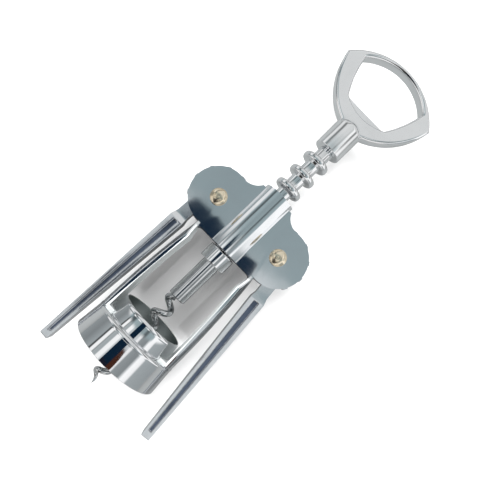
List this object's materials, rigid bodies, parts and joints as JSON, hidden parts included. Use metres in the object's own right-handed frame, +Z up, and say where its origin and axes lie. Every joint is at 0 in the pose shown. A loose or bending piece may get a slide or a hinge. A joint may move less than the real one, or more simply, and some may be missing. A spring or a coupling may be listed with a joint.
{
  "type": "lever corkscrew",
  "caption": "Wing corkscrew: geared levers lift a ringed rack and its screw through a stamped frame standing on a round bell, with a flat ring handle on top.",
  "frame": {"origin": "centre of the bell's mouth, in the plane of its lower rim", "axes": "+Z up along the screw towards the handle, +X towards the right lever, front face to -Y"},
  "size_m": [0.0674, 0.0442, 0.1907],
  "materials": {
    "frame_chrome": "polished plated sheet",
    "bell_chrome": "polished plating",
    "lever_chrome": "polished plated casting",
    "rack_chrome": "polished plating",
    "screw_steel": "polished plated steel",
    "handle_chrome": "polished plated casting",
    "rivet_brass": "bright domed rivet"
  },
  "bodies": {
    "frame": {"front_frame_shell": "frame_chrome", "back_frame_shell": "frame_chrome", "bell_skirt": "bell_chrome", "neck_sleeve": "bell_chrome", "left_pivot_rivet": "rivet_brass", "right_pivot_rivet": "rivet_brass"},
    "rack": {"ringed_rack": "rack_chrome"},
    "screw": {"handle": "handle_chrome", "spindle": "screw_steel", "worm": "screw_steel"},
    "left_lever": {"left_lever": "lever_chrome"},
    "right_lever": {"right_lever": "lever_chrome"}
  },
  "joints": [
    {"name": "rack_slide", "type": "slide", "parent": "frame", "child": "rack", "axis": [0, 0, 1], "range_m": [-0.026, 0]},
    {"name": "screw_spin", "type": "hinge", "parent": "rack", "child": "screw", "pos_m": [0, 0, 0.13], "axis": [0, 0, 1], "continuous": true},
    {"name": "left_lever_pivot", "type": "hinge", "parent": "frame", "child": "left_lever", "pos_m": [-0.018, 0, 0.079], "axis": [0, 1, 0], "range_deg": [0, 105]},
    {"name": "right_lever_pivot", "type": "hinge", "parent": "frame", "child": "right_lever", "pos_m": [0.018, 0, 0.079], "axis": [0, -1, 0], "range_deg": [0, 105]}
  ],
  "couplings": [
    {"joint": "left_lever_pivot", "follows": "rack_slide", "rad_per_m": -70.086},
    {"joint": "right_lever_pivot", "follows": "rack_slide", "rad_per_m": -70.086}
  ]
}
